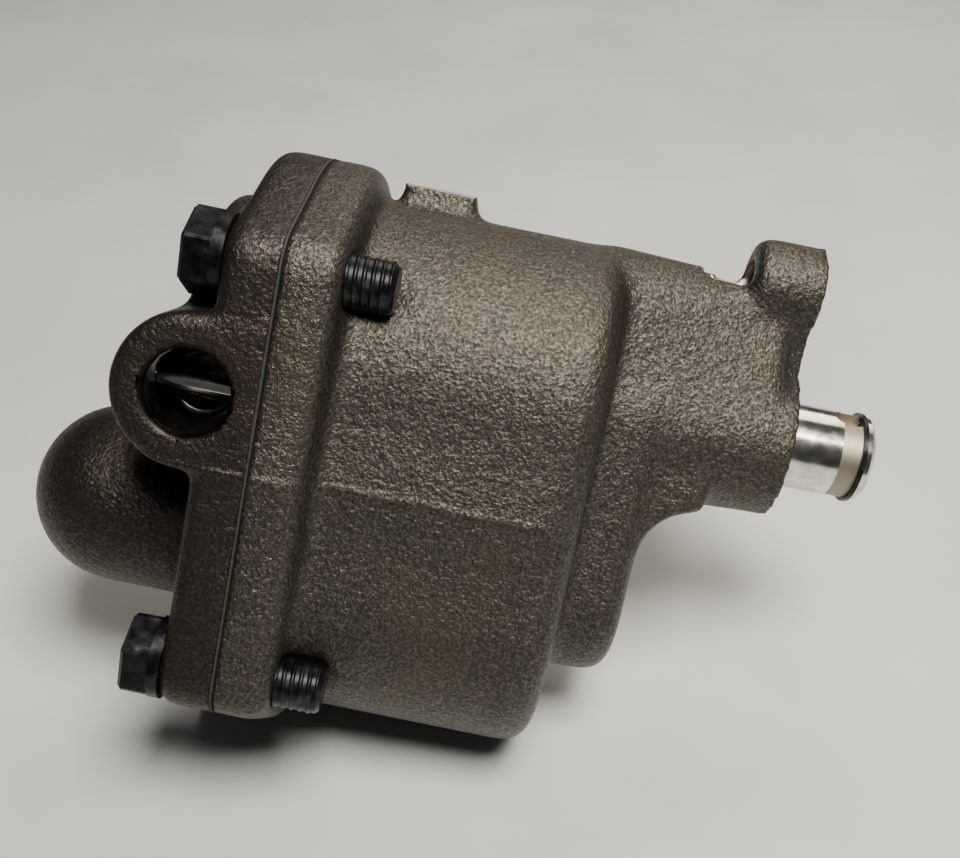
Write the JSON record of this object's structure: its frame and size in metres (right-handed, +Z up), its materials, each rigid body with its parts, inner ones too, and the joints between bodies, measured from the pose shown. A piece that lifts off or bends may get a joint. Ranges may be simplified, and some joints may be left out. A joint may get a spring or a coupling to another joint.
{
  "type": "hydraulic gear pump",
  "caption": "Cast-iron hydraulic gear pump: a flanged body and cover, a relief valve, a drive shaft stub and two meshing gears inside.",
  "frame": {"origin": "where the drive shaft's axis meets the mounting face at the end of the nose", "axes": "+X out along the drive shaft, +Z up as the pump lies on a bench, with the relief valve's mouth towards -Y and up"},
  "size_m": [0.166, 0.1058, 0.1125],
  "materials": {
    "cast_iron_body": "as cast, sand texture",
    "cast_iron_cover": "as cast, darker and redder",
    "gasket_paper": "thin fibre joint",
    "ground_steel": "ground",
    "polished_steel": "polished",
    "black_oxide_steel": "black oxide, oiled",
    "spring_steel": "drawn wire",
    "bronze": "machined bronze"
  },
  "bodies": {
    "housing": {"pump_body": "cast_iron_body", "end_cover": "cast_iron_cover", "cover_gasket": "gasket_paper", "cover_dowels": "ground_steel", "cover_lock_washers": "black_oxide_steel", "cover_bolts": "black_oxide_steel", "cover_wear_plate": "bronze", "body_wear_plate": "bronze", "cover_drive_bush": "bronze", "body_drive_bush": "bronze", "nose_bush": "bronze", "idler_shaft": "ground_steel", "relief_valve_seat": "ground_steel", "relief_valve_spring": "spring_steel", "relief_retaining_pin": "polished_steel"},
    "drive": {"drive_shaft": "ground_steel", "drive_gear": "ground_steel", "drive_gear_key": "ground_steel", "gear_retaining_rings": "black_oxide_steel", "shaft_retaining_ring": "black_oxide_steel"},
    "idler": {"idler_gear": "ground_steel", "idler_gear_bush": "bronze"},
    "relief_valve": {"relief_valve_piston": "ground_steel"}
  },
  "joints": [
    {"name": "drive_spin", "type": "hinge", "parent": "housing", "child": "drive", "pos_m": [0, 0, 0], "axis": [1, 0, 0], "continuous": true},
    {"name": "idler_spin", "type": "hinge", "parent": "housing", "child": "idler", "pos_m": [0, -0.01813, -0.0334], "axis": [1, 0, 0], "continuous": true},
    {"name": "relief_lift", "type": "slide", "parent": "housing", "child": "relief_valve", "axis": [0, -0.8788, 0.4772], "range_m": [0, 0.002], "stiffness_N_per_m": 4000, "springref_m": -0.003, "deforming": ["relief_valve_spring"]}
  ],
  "couplings": [
    {"joint": "idler_spin", "follows": "drive_spin", "ratio": -1}
  ]
}
